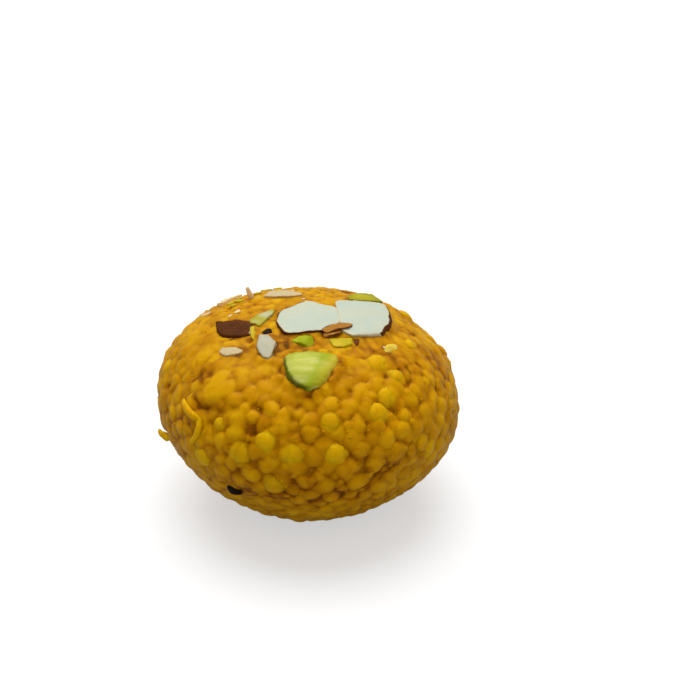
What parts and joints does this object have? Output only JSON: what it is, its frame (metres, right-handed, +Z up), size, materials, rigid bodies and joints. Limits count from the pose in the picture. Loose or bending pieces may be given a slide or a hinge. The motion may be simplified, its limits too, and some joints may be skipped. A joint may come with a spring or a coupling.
{
  "type": "motichoor ladoo",
  "caption": "Round sweet of small fried gram-flour pearls pressed together by hand, with slivered almonds and pistachios on its crown.",
  "frame": {"origin": "centre of the object's box on the surface that it rests on", "axes": "+Z up, +X across the front to the right, the front faces -Y"},
  "size_m": [0.0503, 0.049, 0.0346],
  "materials": {
    "sweet": "moist, softly glossy golden crumb of gram-flour pearls",
    "almond": "satin, cut almond flesh",
    "almond_skin": "dull, wrinkled brown almond skin",
    "pistachio": "satin, cut pistachio flesh with a greener rim",
    "pistachio_pale": "satin, pale pistachio flesh"
  },
  "bodies": {
    "root": {"ladoo_body": "sweet", "almond_slice_left": "almond", "almond_slice_right": "almond", "almond_slice_rear": "almond", "almond_chunk": "almond", "almond_flake": "almond", "almond_brown": "almond_skin", "pistachio_chunk": "pistachio", "pistachio_small": "pistachio", "pistachio_slice_rear": "pistachio", "pistachio_pale_slice": "pistachio_pale", "pistachio_flake": "pistachio_pale"}
  },
  "joints": []
}
